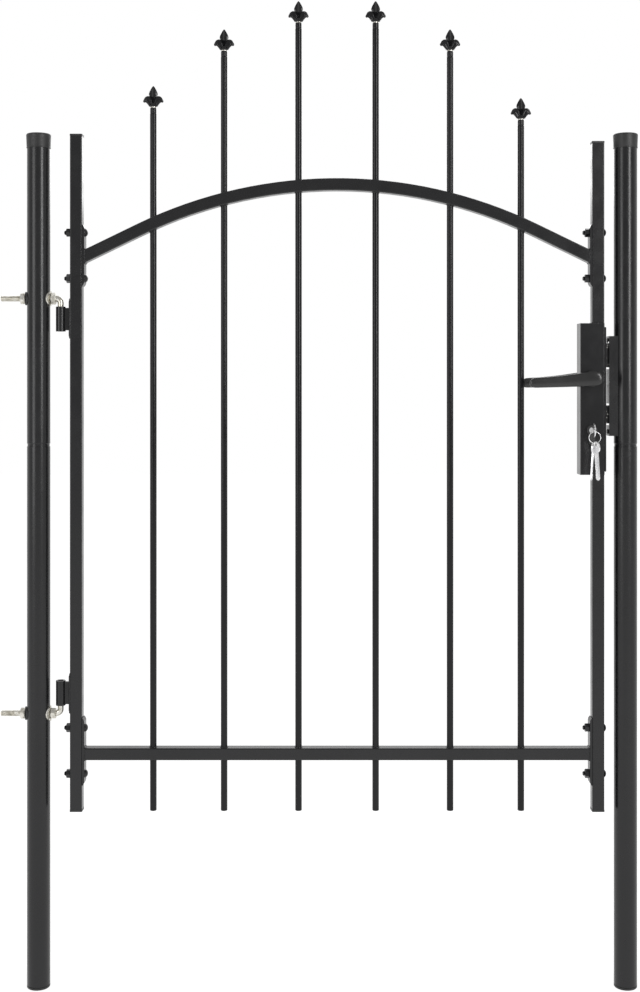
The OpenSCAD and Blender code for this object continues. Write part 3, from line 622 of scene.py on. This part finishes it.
# passes a smooth curve through the stations
def smoothStations(stations, between=4):
    smooth = []
    for i in range(len(stations) - 1):
        before, after = stations[max(i - 1, 0)], stations[min(i + 2, len(stations) - 1)]
        four = [before, stations[i], stations[i + 1], after]
        for k in range(between):
            t = k / between
            row = []
            for p0, p1, p2, p3 in zip(*four):
                row.append(0.5 * (2 * p1 + (p2 - p0) * t + (2 * p0 - 5 * p1 + 4 * p2 - p3) * t ** 2
                                  + (3 * p1 - p0 - 3 * p2 + p3) * t ** 3))
            smooth.append(tuple(row))
    return smooth + [stations[-1]]


def bladeRing(base, halfWidth, halfDepth, height):
    places = []
    count, power = finialSettings["bladeSides"], finialSettings["bladePower"]
    for i in range(count):
        a = 2 * math.pi * i / count
        c, d = math.cos(a), math.sin(a)
        reach = (abs(c) ** power + abs(d) ** power) ** (-1 / power)
        places.append(base + Vector((halfWidth * c * reach, halfDepth * d * reach, height)) * mm)
    return places


def petalRings(base, mirror, s):
    rings = []
    stations = smoothStations(petalStations)
    count = s["petalSides"]
    for i, (out, up, thick, wide) in enumerate(stations):
        before, after = stations[max(i - 1, 0)], stations[min(i + 1, len(stations) - 1)]
        forward = Vector((after[0] - before[0], 0, after[1] - before[1])).normalized()
        across = Vector((forward.z, 0, -forward.x))
        places = []
        for k in range(count):
            a = 2 * math.pi * k / count
            pinch = 1 - s["veinDepth"] * abs(math.sin(a)) ** s["veinSharpness"]
            spot = Vector((out, 0, up)) + across * (thick / 2 * math.cos(a))
            spot += yAxis * (wide / 2 * math.sin(a) * pinch)
            places.append(base + Vector((spot.x * mirror, spot.y, spot.z)) * mm)
        rings.append(places)
    return rings


def addBar(number, s):
    node = "bar_%d" % number
    low, high, centre = boxOf(node)
    radius = (high.x - low.x) / 2
    e = s["barEdge"]
    bm = bmesh.new()
    spinProfile(bm, [
        (0, low.z), (radius - e, low.z), (radius, low.z + e),
        (radius, high.z - e), (radius - e, high.z), (0, high.z),
    ], Vector((centre.x, centre.y, 0)), zAxis, s["barSegments"])
    finishPiece("round_bar_%d" % number, bm, coatBar, "leaf", [node])

    base = Vector((centre.x, centre.y, high.z))
    c = s["collarRadius"]
    bm = bmesh.new()
    spinProfile(bm, [
        (0, -0.0012), (c - 0.0010, -0.0012), (c - 0.0010, 0.0006), (c - 0.0003, 0.0012), (c, 0.0022),
        (c, 0.0094), (c - 0.0003, 0.0103), (c - 0.0011, 0.0109), (c - 0.0011, 0.0118), (c + 0.0002, 0.0126),
        (c + 0.0010, 0.0142), (c - 0.0010, 0.0180), (0, 0.0200),
    ], base, zAxis, s["collarSegments"])
    skinRings(bm, [bladeRing(base, *station) for station in smoothStations(bladeStations)])
    for mirror in (1, -1):
        skinRings(bm, petalRings(base, mirror, s))
    around, angles = s["beadAround"], [2 * math.pi * k / s["beadPoints"] for k in range(s["beadPoints"])]
    bead = [base + Vector((around * math.cos(a), around * math.sin(a), 0.2)) * mm for a in angles]
    weldBead(bm, bead, s["beadRadius"], True)
    finishPiece("spear_finial_%d" % number, bm, coatCast, "leaf", ["finial_%d" % number], 42)


# painted highlight: a light metal ring in the groove under the petals stands in for the glint there
def addHighlightRings(s):
    bm = bmesh.new()
    r, e = s["ringRadius"], s["ringEdge"]
    foot, top = s["ringFoot"], s["ringFoot"] + s["ringHeight"]
    for number in barNumbers:
        _, high, centre = boxOf("bar_%d" % number)
        base = Vector((centre.x, centre.y, high.z))
        spinProfile(bm, [(0, foot), (r - e, foot), (r, foot + e), (r, top - e), (r - e, top), (0, top)],
                    base, zAxis, s["collarSegments"])
    finishPiece("finial_groove_rings", bm, zincFinish, "leaf")


for number in barNumbers:
    addBar(number, finialSettings)
addHighlightRings(finialSettings)
print("bars and finials made")


archSettings = {"radius": 0.750, "footSlope": 25.9}      # as in the part's source
weldSettings = {
    "barBead": 0.0011,
    "offBar": 0.0003,          # how far a bead's middle stands off the bar
    "plateBead": 0.0014,
    "lockBead": 0.0016,
    "barPoints": 30,
    "platePoints": 12,
}


def addBarWelds(s):
    bm = bmesh.new()
    barLow, barHigh, _ = boxOf("bar_1")
    out = (barHigh.x - barLow.x) / 2 + s["offBar"]
    railLow, railHigh, _ = boxOf("bottom_rail")
    _, archHigh, archMid = boxOf("arch")
    tube = railHigh.z - railLow.z
    crown = archHigh.z - tube / 2
    angles = [2 * math.pi * k / s["barPoints"] for k in range(s["barPoints"])]
    for number in barNumbers:
        x = boxOf("bar_%d" % number)[2].x
        for z in (railLow.z, railHigh.z):
            ring = [Vector((x + out * math.cos(a), out * math.sin(a), z)) for a in angles]
            weldBead(bm, ring, s["barBead"], True)
        away = x - archMid.x
        for edge in (-tube / 2, tube / 2):
            bend = archSettings["radius"] + edge
            ring = []
            for a in angles:
                dx = away + out * math.cos(a)
                z = crown - archSettings["radius"] + math.sqrt(bend ** 2 - dx ** 2)
                ring.append(Vector((archMid.x + dx, out * math.sin(a), z)))
            weldBead(bm, ring, s["barBead"], True)
    finishPiece("bar_welds", bm, coatFrame, "leaf", sharpAngle=60)


# two beads across the tube's top and bottom and two up its sides, at each end plate
def plateBeads(bm, x, half, bottom, top, footZ, headZ, crossShare, s):
    inset, bead, points = 0.001, s["plateBead"], s["platePoints"]
    for z in (bottom, top):
        weldBead(bm, straightPath((x, -half + inset, z), (x, half - inset, z), points), bead * crossShare)
    for y in (-half, half):
        weldBead(bm, straightPath((x, y, footZ), (x, y, headZ), points), bead * 0.7)


def addPlateWelds(s):
    bm = bmesh.new()
    railLow, railHigh, _ = boxOf("bottom_rail")
    half = (railHigh.z - railLow.z) / 2
    for x in (railLow.x + 0.0003, railHigh.x - 0.0003):
        plateBeads(bm, x, half, railLow.z, railHigh.z, railLow.z + 0.001, railHigh.z - 0.001, 1.0, s)
    archLow, archHigh, _ = boxOf("arch")
    topZ = archLow.z + 2 * half / math.cos(math.radians(archSettings["footSlope"]))
    for x in (archLow.x + 0.0003, archHigh.x - 0.0003):
        plateBeads(bm, x, half, archLow.z + 0.0004, topZ, archLow.z + 0.001, topZ - 0.001, 1.3, s)
    finishPiece("plate_welds", bm, coatFrame, "leaf", sharpAngle=60)


addBarWelds(weldSettings)
addPlateWelds(weldSettings)
print("welds made")


boltSettings = {
    "nutFlats": 0.013,
    "nutThick": 0.007,
    "tail": 0.0035,
    "thread": 0.008,
    "threadDepth": 0.0006,
    "pitch": 0.00125,
    "domeHeight": 0.0046,
    "domeWidth": 0.0145,
    "domeSteps": 8,
    "plate": 0.004,
    "apart": 0.076,          # height from one bolt of a plate to the other
}


def boltSpots():
    low, high, _ = boxOf("plate_bolts")
    plateLow, plateHigh, _ = boxOf("end_plates")
    stileLow, stileHigh, _ = boxOf("hinge_stile")
    domeR, apart, plate = boltSettings["domeWidth"] / 2, boltSettings["apart"], boltSettings["plate"]
    upperTop, lowerBottom = high.z - domeR, low.z + domeR
    heights = [upperTop, upperTop - apart, lowerBottom + apart, lowerBottom]
    tube = stileHigh.x - stileLow.x
    return [(x, z) for z in heights for x in (plateLow.x + plate, plateHigh.x + tube)], tube + plate


def addPlateBolts(s):
    spots, grip = boltSpots()
    heads, nuts = bmesh.new(), bmesh.new()
    domeR, h = s["domeWidth"] / 2, s["domeHeight"]
    ball = (domeR ** 2 + h ** 2) / (2 * h)
    for i, (x, z) in enumerate(spots):
        place = Vector((x, 0, z))
        profile = [(0, -0.001), (domeR - 0.0002, -0.001), (domeR - 0.0002, 0.0)]
        start = math.asin(domeR / ball)
        for k in range(s["domeSteps"] + 1):
            a = start * (1 - k / s["domeSteps"])
            profile.append((ball * math.sin(a), h - ball + ball * math.cos(a)))
        spinProfile(heads, profile, place, xAxis, 32)
        nutX = x - grip - s["nutThick"]
        hexNut(nuts, Vector((nutX, 0, z)), xAxis, s["nutFlats"], s["nutThick"], roll=0.35 * i)
        tailX = nutX - s["tail"]
        r = s["thread"] / 2
        cutThread(nuts, Vector((tailX + 0.0012, 0, z)), xAxis, s["tail"] + 0.001,
                  r, s["threadDepth"], s["pitch"], 16)
        spinProfile(nuts, [(0, 0), (r - 0.0014, 0), (r - 0.0006, 0.0012), (0, 0.0013)],
                    Vector((tailX, 0, z)), xAxis, 24)
    finishPiece("plate_bolt_heads", heads, coatBolt, "leaf", ["plate_bolts"], 40)
    finishPiece("plate_bolt_nuts", nuts, coatBolt, "leaf", ["plate_nuts"], 30)


addPlateBolts(boltSettings)
print("plate bolts made")


rodSettings = {
    "rod": 0.010,
    "bend": 0.0075,
    "bendSteps": 12,
    "pitch": 0.0015,
    "depth": 0.00085,
    "axisX": 0.0367,         # the pins' axis
    "nutFlats": 0.017,
    "outerNut": 0.006,
    "innerNut": 0.008,
}


def addHingeRod(node, direction, s):
    low, high, _ = boxOf(node)
    r, bend, axisX, core = s["rod"] / 2, s["bend"], s["axisX"], s["rod"] / 2 - s["depth"]
    z = high.z - r if direction < 0 else low.z + r
    tail = low.x
    bm = bmesh.new()
    spinProfile(bm, [(0, 0), (r - 0.0012, 0), (r - 0.0008, 0.0006), (core, 0.0014), (0, 0.0016)],
                Vector((tail, 0, z)), xAxis, 32)
    threadLong = axisX - bend - tail - 0.0018
    cutThread(bm, Vector((tail + 0.0008, 0, z)), xAxis, threadLong, r, s["depth"], s["pitch"])
    path = [Vector((axisX - bend - 0.0022, 0, z))]
    for k in range(s["bendSteps"] + 1):
        a = math.pi / 2 * k / s["bendSteps"]
        rise = direction * bend * (1 - math.cos(a))
        path.append(Vector((axisX - bend + bend * math.sin(a), 0, z + rise)))
    pinEnd = low.z if direction < 0 else high.z
    for pinZ in (z + direction * (bend + 0.006), pinEnd - direction * 0.001, pinEnd):
        path.append(Vector((axisX, 0, pinZ)))
    radii = [core] + [r - 0.00001] * (len(path) - 2) + [r - 0.001]
    tubeAlong(bm, path, r, 32, False, radii)
    finishPiece(node + "_bent", bm, zincFinish, "posts", [node], 40)
    return z


def addRodNuts(heights, s):
    low, high, _ = boxOf("hinge_nuts")
    bm = bmesh.new()
    for i, z in enumerate(heights):
        hexNut(bm, Vector((low.x, 0, z)), xAxis, s["nutFlats"], s["outerNut"], roll=0.2 + 0.5 * i)
        innerX = high.x - s["innerNut"]
        hexNut(bm, Vector((innerX, 0, z)), xAxis, s["nutFlats"], s["innerNut"], roll=0.5 + 0.3 * i)
    finishPiece("hinge_rod_nuts", bm, zincFinish, "posts", ["hinge_nuts"], 30)


upperRodZ = addHingeRod("upper_hinge_rod", -1, rodSettings)
lowerRodZ = addHingeRod("lower_hinge_rod", 1, rodSettings)
addRodNuts([upperRodZ, lowerRodZ], rodSettings)


def addHingeWelds(s):
    bm = bmesh.new()
    stileLeft = boxOf("hinge_stile")[0].x
    pad, lug = stileLeft - 0.0002, stileLeft - 0.0022
    padHalf, lugHalf, bead = 0.009, 0.0034, s["plateBead"]
    for node in ("upper_hinge_eye", "lower_hinge_eye"):
        low, high, _ = boxOf(node)
        for y in (-padHalf, padHalf):
            weldBead(bm, straightPath((pad, y, low.z + 0.004), (pad, y, high.z - 0.004), 40), bead * 0.8)
        for z in (low.z + 0.0012, high.z - 0.0012):
            weldBead(bm, straightPath((pad, -padHalf, z), (pad, padHalf, z), 12), bead)
        for y in (-lugHalf, lugHalf):
            weldBead(bm, straightPath((lug, y, low.z + 0.015), (lug, y, low.z + 0.050), 26), bead * 0.8)
    finishPiece("hinge_welds", bm, coatFrame, "leaf", sharpAngle=60)


addHingeWelds(weldSettings)
print("hinges made")


leverSettings = {
    "hubRadius": 0.014,
    "hubThick": 0.008,
    "neckRadius": 0.0085,
    "hubSegments": 56,
    "out": 0.050,            # from the leaf's middle to the lever's middle
    "caseHalf": 0.017,
    "gap": 0.0005,
    "droop": 4.0,
    "squareness": 2.9,       # 2 is a round section
    "gripSides": 28,
}

# distance from the axis towards the tip, height, thickness, drop of the middle and how far it comes in
leverStations = [
    (-10.8, 6.0, 5.0, 1.2, -0.4), (-9.9, 13.0, 8.6, 1.0, -0.2), (-7.2, 19.5, 10.4, 0.6, 0.0),
    (-3.0, 23.0, 11.0, 0.2, 0.0), (3.0, 23.8, 11.0, 0.0, 0.0), (10.0, 23.4, 10.8, 0.0, 0.0),
    (22.0, 22.2, 10.4, 0.2, 0.2), (38.0, 20.4, 10.2, 0.5, 0.5), (56.0, 18.8, 10.2, 0.6, 0.7),
    (74.0, 17.6, 10.4, 0.4, 0.6), (90.0, 17.0, 10.6, 0.0, 0.3), (99.0, 16.2, 10.2, -0.2, 0.0),
    (103.6, 13.4, 8.8, -0.2, 0.0), (106.2, 8.6, 6.2, -0.1, 0.0), (107.0, 3.4, 2.6, 0.0, 0.0),
]


def addLever(node, name, facing, s):
    axisX = boxOf("lock_cylinder")[2].x
    leverZ = boxOf("lever_spindle")[2].z
    start = Vector((axisX, facing * (s["caseHalf"] + s["gap"]), leverZ))
    hub, thick, neck = s["hubRadius"], s["hubThick"], s["neckRadius"]
    reach = s["out"] - s["caseHalf"] - s["gap"]
    bm = bmesh.new()
    spinProfile(bm, [
        (0, 0), (hub - 0.0004, 0), (hub, 0.0004), (hub, thick - 0.003), (hub - 0.0009, thick - 0.001),
        (hub - 0.003, thick), (neck + 0.0014, thick), (neck + 0.0004, thick + 0.0008),
        (neck, thick + 0.003), (neck, reach - 0.008), (neck + 0.0008, reach - 0.004),
        (neck + 0.0012, reach), (0, reach),
    ], start, yAxis * facing, s["hubSegments"])
    tilt, power, count = math.radians(s["droop"]), s["squareness"], s["gripSides"]
    rings = []
    for out, tall, deep, drop, inward in smoothStations(leverStations, 3):
        ring = []
        for k in range(count):
            a = 2 * math.pi * k / count
            c, d = math.cos(a), math.sin(a)
            spread = (abs(c) ** power + abs(d) ** power) ** (-1 / power)
            x = -out * math.cos(tilt)
            y = facing * (s["out"] * 1000 - inward) + deep / 2 * c * spread
            z = -drop + tall / 2 * d * spread - out * math.sin(tilt)
            ring.append(Vector((axisX, 0, leverZ)) + Vector((x, y, z)) * mm)
        rings.append(ring)
    skinRings(bm, rings)
    finishPiece(name, bm, coatLever, "handle", [node], 45)


addLever("front_lever", "lever_front", -1, leverSettings)
addLever("rear_lever", "lever_rear", 1, leverSettings)


def addLockWelds(s):
    bm = bmesh.new()
    caseLow, caseHigh, _ = boxOf("lock_case")
    stileLow, stileHigh, _ = boxOf("lock_stile_upper")
    left, right, bead = stileLow.x, stileHigh.x - 0.001, s["lockBead"]
    for z in (caseHigh.z + 0.0002, caseLow.z - 0.0002):
        weldBead(bm, straightPath((left - 0.0004, -0.0095, z), (left - 0.0004, 0.0095, z), 18), bead)
        for y in (-0.0103, 0.0103):
            weldBead(bm, straightPath((left, y, z), (right, y, z), 18), bead)
    finishPiece("lock_welds", bm, coatLock, "leaf", sharpAngle=60)


addLockWelds(weldSettings)

keySettings = {
    "bow": 0.012,
    "hole": 0.0025,
    "thick": 0.002,
    "plugRadius": 0.0053,
    "plugLength": 0.0095,
    "ringTurns": 2.0,
    "ringStart": 2.2,
    "ringPoints": 112,
    "coilStep": 0.00052,     # the wire steps from one coil to the next
    "stepSharpness": 9,
    "wire": 0.0005,
    "spareBow": 0.0098,
    "spareThick": 0.0021,
    "spareLength": 0.064,
    "spareApart": 0.0019,
    "spareSwing": 3.4,       # degrees
    "spareTwist": 26,
}


# a round plate with a round hole, which need not be in its middle
def plateWithHole(bm, centre, holeCentre, radius, hole, thick, toPlace, count=40):
    def ring(middle, r, height):
        return [toPlace @ Vector((middle[0] + r * math.cos(a), middle[1] + r * math.sin(a), height))
                for a in (2 * math.pi * k / count for k in range(count))]

    edge, half = 0.0003, thick / 2
    skinRings(bm, [
        ring(centre, radius - edge, half), ring(centre, radius, half - edge),
        ring(centre, radius, edge - half), ring(centre, radius - edge, -half),
        ring(holeCentre, hole + edge, -half), ring(holeCentre, hole, edge - half),
        ring(holeCentre, hole, half - edge), ring(holeCentre, hole + edge, half),
    ], closed=True)


bladeSettings = {
    "width": 0.0090,
    "thick": 0.0019,
    "steps": 34,
    "cuts": [0.2, 1.3, 0.6, 1.7, 0.9, 0.4],      # depth of each cut in mm
    "cutsStart": 0.30,
    "cutsSpan": 0.62,
    "flank": 0.85,
    "point": 0.07,
    "groove": 0.00045,
}


# a blade along local x with two milled grooves and a row of cuts
def keyBlade(bm, toPlace, start, length, s):
    width, groove, depths = s["width"], s["groove"], s["cuts"]
    half, back = s["thick"] / 2, -width / 2
    rings = []
    for i in range(s["steps"] + 1):
        t = i / s["steps"]
        cut = width / 2
        if t > s["cutsStart"]:
            phase = (t - s["cutsStart"]) / s["cutsSpan"] * len(depths)
            tooth = min(int(phase), len(depths) - 1)
            rise = abs((phase - tooth) - 0.5) * 2
            cut -= depths[tooth] * mm * (1 - rise * s["flank"])
        point = max(0.0, (t - (1 - s["point"])) / s["point"])
        cut, rear = cut * (1 - 0.75 * point), back * (1 - 0.6 * point)
        shape = [
            (rear, -half), (rear * 0.55, -half), (rear * 0.45, groove - half), (rear * 0.10, groove - half),
            (0, -half), (cut, -half), (cut, half), (-rear * 0.10, half), (-rear * 0.02, half - groove),
            (rear * 0.25, half - groove), (rear * 0.35, half), (rear, half),
        ]
        rings.append([toPlace @ Vector((start + length * t, u, v)) for u, v in shape])
    skinRings(bm, rings)


def addKeys(s):
    low, high, _ = boxOf("door_key")
    ringLow, ringHigh, ringMid = boxOf("key_ring")
    keyX, keyZ = (low.x + high.x) / 2, (low.z + high.z) / 2
    bowY = low.y + s["bow"]
    bm = bmesh.new()
    toKey = Matrix(((0, 0, 1, keyX), (1, 0, 0, 0), (0, 1, 0, keyZ), (0, 0, 0, 1)))    # local x runs along Y
    plateWithHole(bm, (bowY, 0), (ringMid.y, 0), s["bow"], s["hole"], s["thick"], toKey)
    stemHalf, stemTall = 0.00095, 0.0045
    bevelBox(bm, (keyX - stemHalf, bowY + 0.009, keyZ - stemTall),
             (keyX + stemHalf, high.y - 0.004, keyZ + stemTall), 0.0003, 1)
    plug, plugLong = s["plugRadius"], s["plugLength"]
    spinProfile(bm, [(0, 0), (plug - 0.0005, 0), (plug, 0.0005), (plug, plugLong), (0, plugLong)],
                Vector((keyX, high.y - plugLong, keyZ)), yAxis, 32)
    finishPiece("working_key", bm, brushedNickel, "leaf", ["door_key"], 30)

    bm = bmesh.new()
    count = s["ringPoints"]
    ringR = (ringHigh.x - ringLow.x) / 2 - 0.001
    path = []
    for k in range(count + 1):
        a = 2 * math.pi * s["ringTurns"] * k / count + s["ringStart"]
        lift = s["coilStep"] * math.tanh((k / count - 0.5) * s["stepSharpness"])
        path.append(ringMid + Vector((ringR * math.cos(a), lift, ringR * math.sin(a))))
    tubeAlong(bm, path, s["wire"], 10)
    finishPiece("split_ring", bm, nickelFinish, "ring_body", ["key_ring"], 60)

    bm = bmesh.new()
    holeZ = ringLow.z + 0.001 - 0.0014
    bow = s["spareBow"]
    centre = bow - s["hole"] - 0.002
    down = Matrix(((0, 0, 1, 0), (0, 1, 0, 0), (-1, 0, 0, 0), (0, 0, 0, 1)))     # local x runs down
    for side in (-1, 1):
        swing = Matrix.Rotation(math.radians(side * s["spareSwing"]), 4, "Y")
        twist = Matrix.Rotation(math.radians(side * s["spareTwist"]), 4, "Z")
        hang = Matrix.Translation((ringMid.x + side * s["spareApart"], ringMid.y, holeZ))
        toPlace = hang @ swing.inverted() @ twist @ down
        plateWithHole(bm, (centre, 0), (0, 0), bow, s["hole"], s["spareThick"], toPlace)
        bladeLong = s["spareLength"] - 2 * bow + 0.002 - 0.0006
        keyBlade(bm, toPlace, centre + bow - 0.002, bladeLong, bladeSettings)
    finishPiece("spare_key_pair", bm, brushedNickel, "ring_body", ["spare_keys"], 30)


addKeys(keySettings)
print("lock pieces made")


# the CAD nodes that stay, each with its finish
keptFinish = {
    "hinge_washers": zincFinish,
    "hinge_saddles": blackPlastic,
    "strike": coatFrame,
    "strike_screws": coatBolt,
    "hinge_stile": coatFrame,
    "lock_stile_upper": coatFrame,
    "lock_stile_lower": coatFrame,
    "stile_caps": blackPlastic,
    "arch": coatFrame,
    "bottom_rail": coatFrame,
    "end_plates": coatFrame,
    "upper_hinge_eye": coatFrame,
    "lower_hinge_eye": coatFrame,
    "lock_case": coatLock,
    "lock_forend": coatLock,
    "lock_cylinder": cylinderFinish,
    "lever_spindle": zincFinish,
    "latch": boltFinish,
    "dead_bolt": boltFinish,
}
for nodeName, finish in keptFinish.items():
    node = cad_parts[nodeName]
    for slotRow in node.material_slots:
        slotRow.material = finish
print("finishes given to the CAD nodes")
